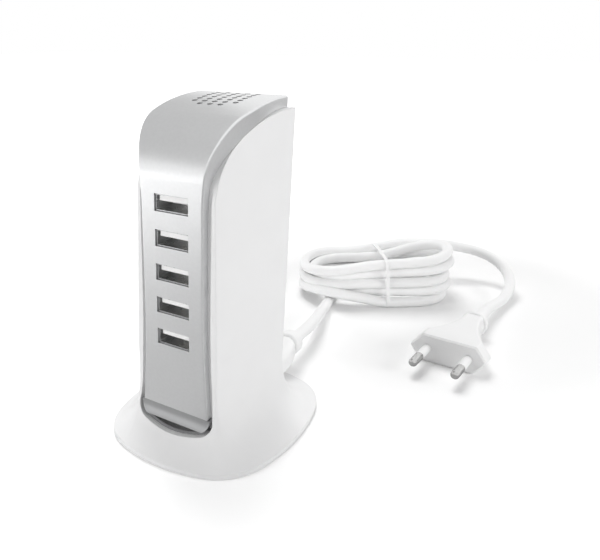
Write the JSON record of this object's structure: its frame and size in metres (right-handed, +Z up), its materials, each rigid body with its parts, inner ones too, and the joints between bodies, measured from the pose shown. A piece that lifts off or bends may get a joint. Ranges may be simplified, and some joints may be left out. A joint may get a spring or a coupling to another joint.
{
  "type": "usb desktop charger",
  "caption": "Upright desk charger: slim white tower on a flared foot, silver front with a column of USB sockets and vents on top, with a bundled mains lead in its back.",
  "frame": {"origin": "on the table under the middle of the foot", "axes": "+Z up, the sockets face -Y, the inlet is in the back at +Y, +X is on the right seen from the front"},
  "size_m": [0.1205, 0.2751, 0.1243],
  "materials": {
    "white_shell": "fine gloss white",
    "silver_face": "satin silver paint",
    "silver_trim": "satin silver paint",
    "dark_tray": "matt dark grey",
    "white_plate": "matt white",
    "rubber_pad": "matt",
    "steel_screw": "bright zinc",
    "socket_steel": "nickel plated",
    "socket_plastic": "white",
    "socket_contact": "gold flashed",
    "board": "green solder mask",
    "ferrite": "sintered",
    "winding_tape": "polyester tape",
    "can_sleeve": "shrink sleeve",
    "black_epoxy": "moulded epoxy",
    "sink_metal": "extruded",
    "choke_wire": "enamelled copper",
    "fuse_sleeve": "ceramic",
    "blue_disc": "lacquer",
    "wire_skin": "vinyl",
    "lead_plastic": "soft white vinyl",
    "tie_wire": "white coated tie",
    "pin_metal": "nickel plated brass"
  },
  "bodies": {
    "root": {"housing": "white_shell", "front_cover": "silver_face", "lower_trim": "silver_trim", "trough_tray": "dark_tray", "bottom_plate": "white_plate", "rubber_feet": "rubber_pad", "base_screws": "steel_screw", "usb_board_screws": "steel_screw", "main_board_screws": "steel_screw", "usb_shell_1": "socket_steel", "usb_shell_2": "socket_steel", "usb_shell_3": "socket_steel", "usb_shell_4": "socket_steel", "usb_shell_5": "socket_steel", "usb_tongue_1": "socket_plastic", "usb_tongue_2": "socket_plastic", "usb_tongue_3": "socket_plastic", "usb_tongue_4": "socket_plastic", "usb_tongue_5": "socket_plastic", "usb_contacts_1": "socket_contact", "usb_contacts_2": "socket_contact", "usb_contacts_3": "socket_contact", "usb_contacts_4": "socket_contact", "usb_contacts_5": "socket_contact", "usb_board": "board", "main_board": "board", "transformer_core": "ferrite", "transformer_winding": "winding_tape", "bulk_capacitors": "can_sleeve", "output_capacitors": "can_sleeve", "bridge_rectifier": "black_epoxy", "switch_transistor": "black_epoxy", "inlet_body": "black_epoxy", "heat_sink": "sink_metal", "line_choke": "choke_wire", "fuse": "fuse_sleeve", "y_capacitor": "blue_disc", "mains_wires": "wire_skin", "dc_wires": "wire_skin", "lead_connector": "lead_plastic", "cord_tail": "lead_plastic", "cord_hank": "lead_plastic", "cord_lead": "lead_plastic", "plug_body": "lead_plastic", "pin_sleeves": "lead_plastic", "hank_tie": "tie_wire", "inlet_pins": "pin_metal", "plug_pins": "pin_metal"}
  },
  "joints": []
}
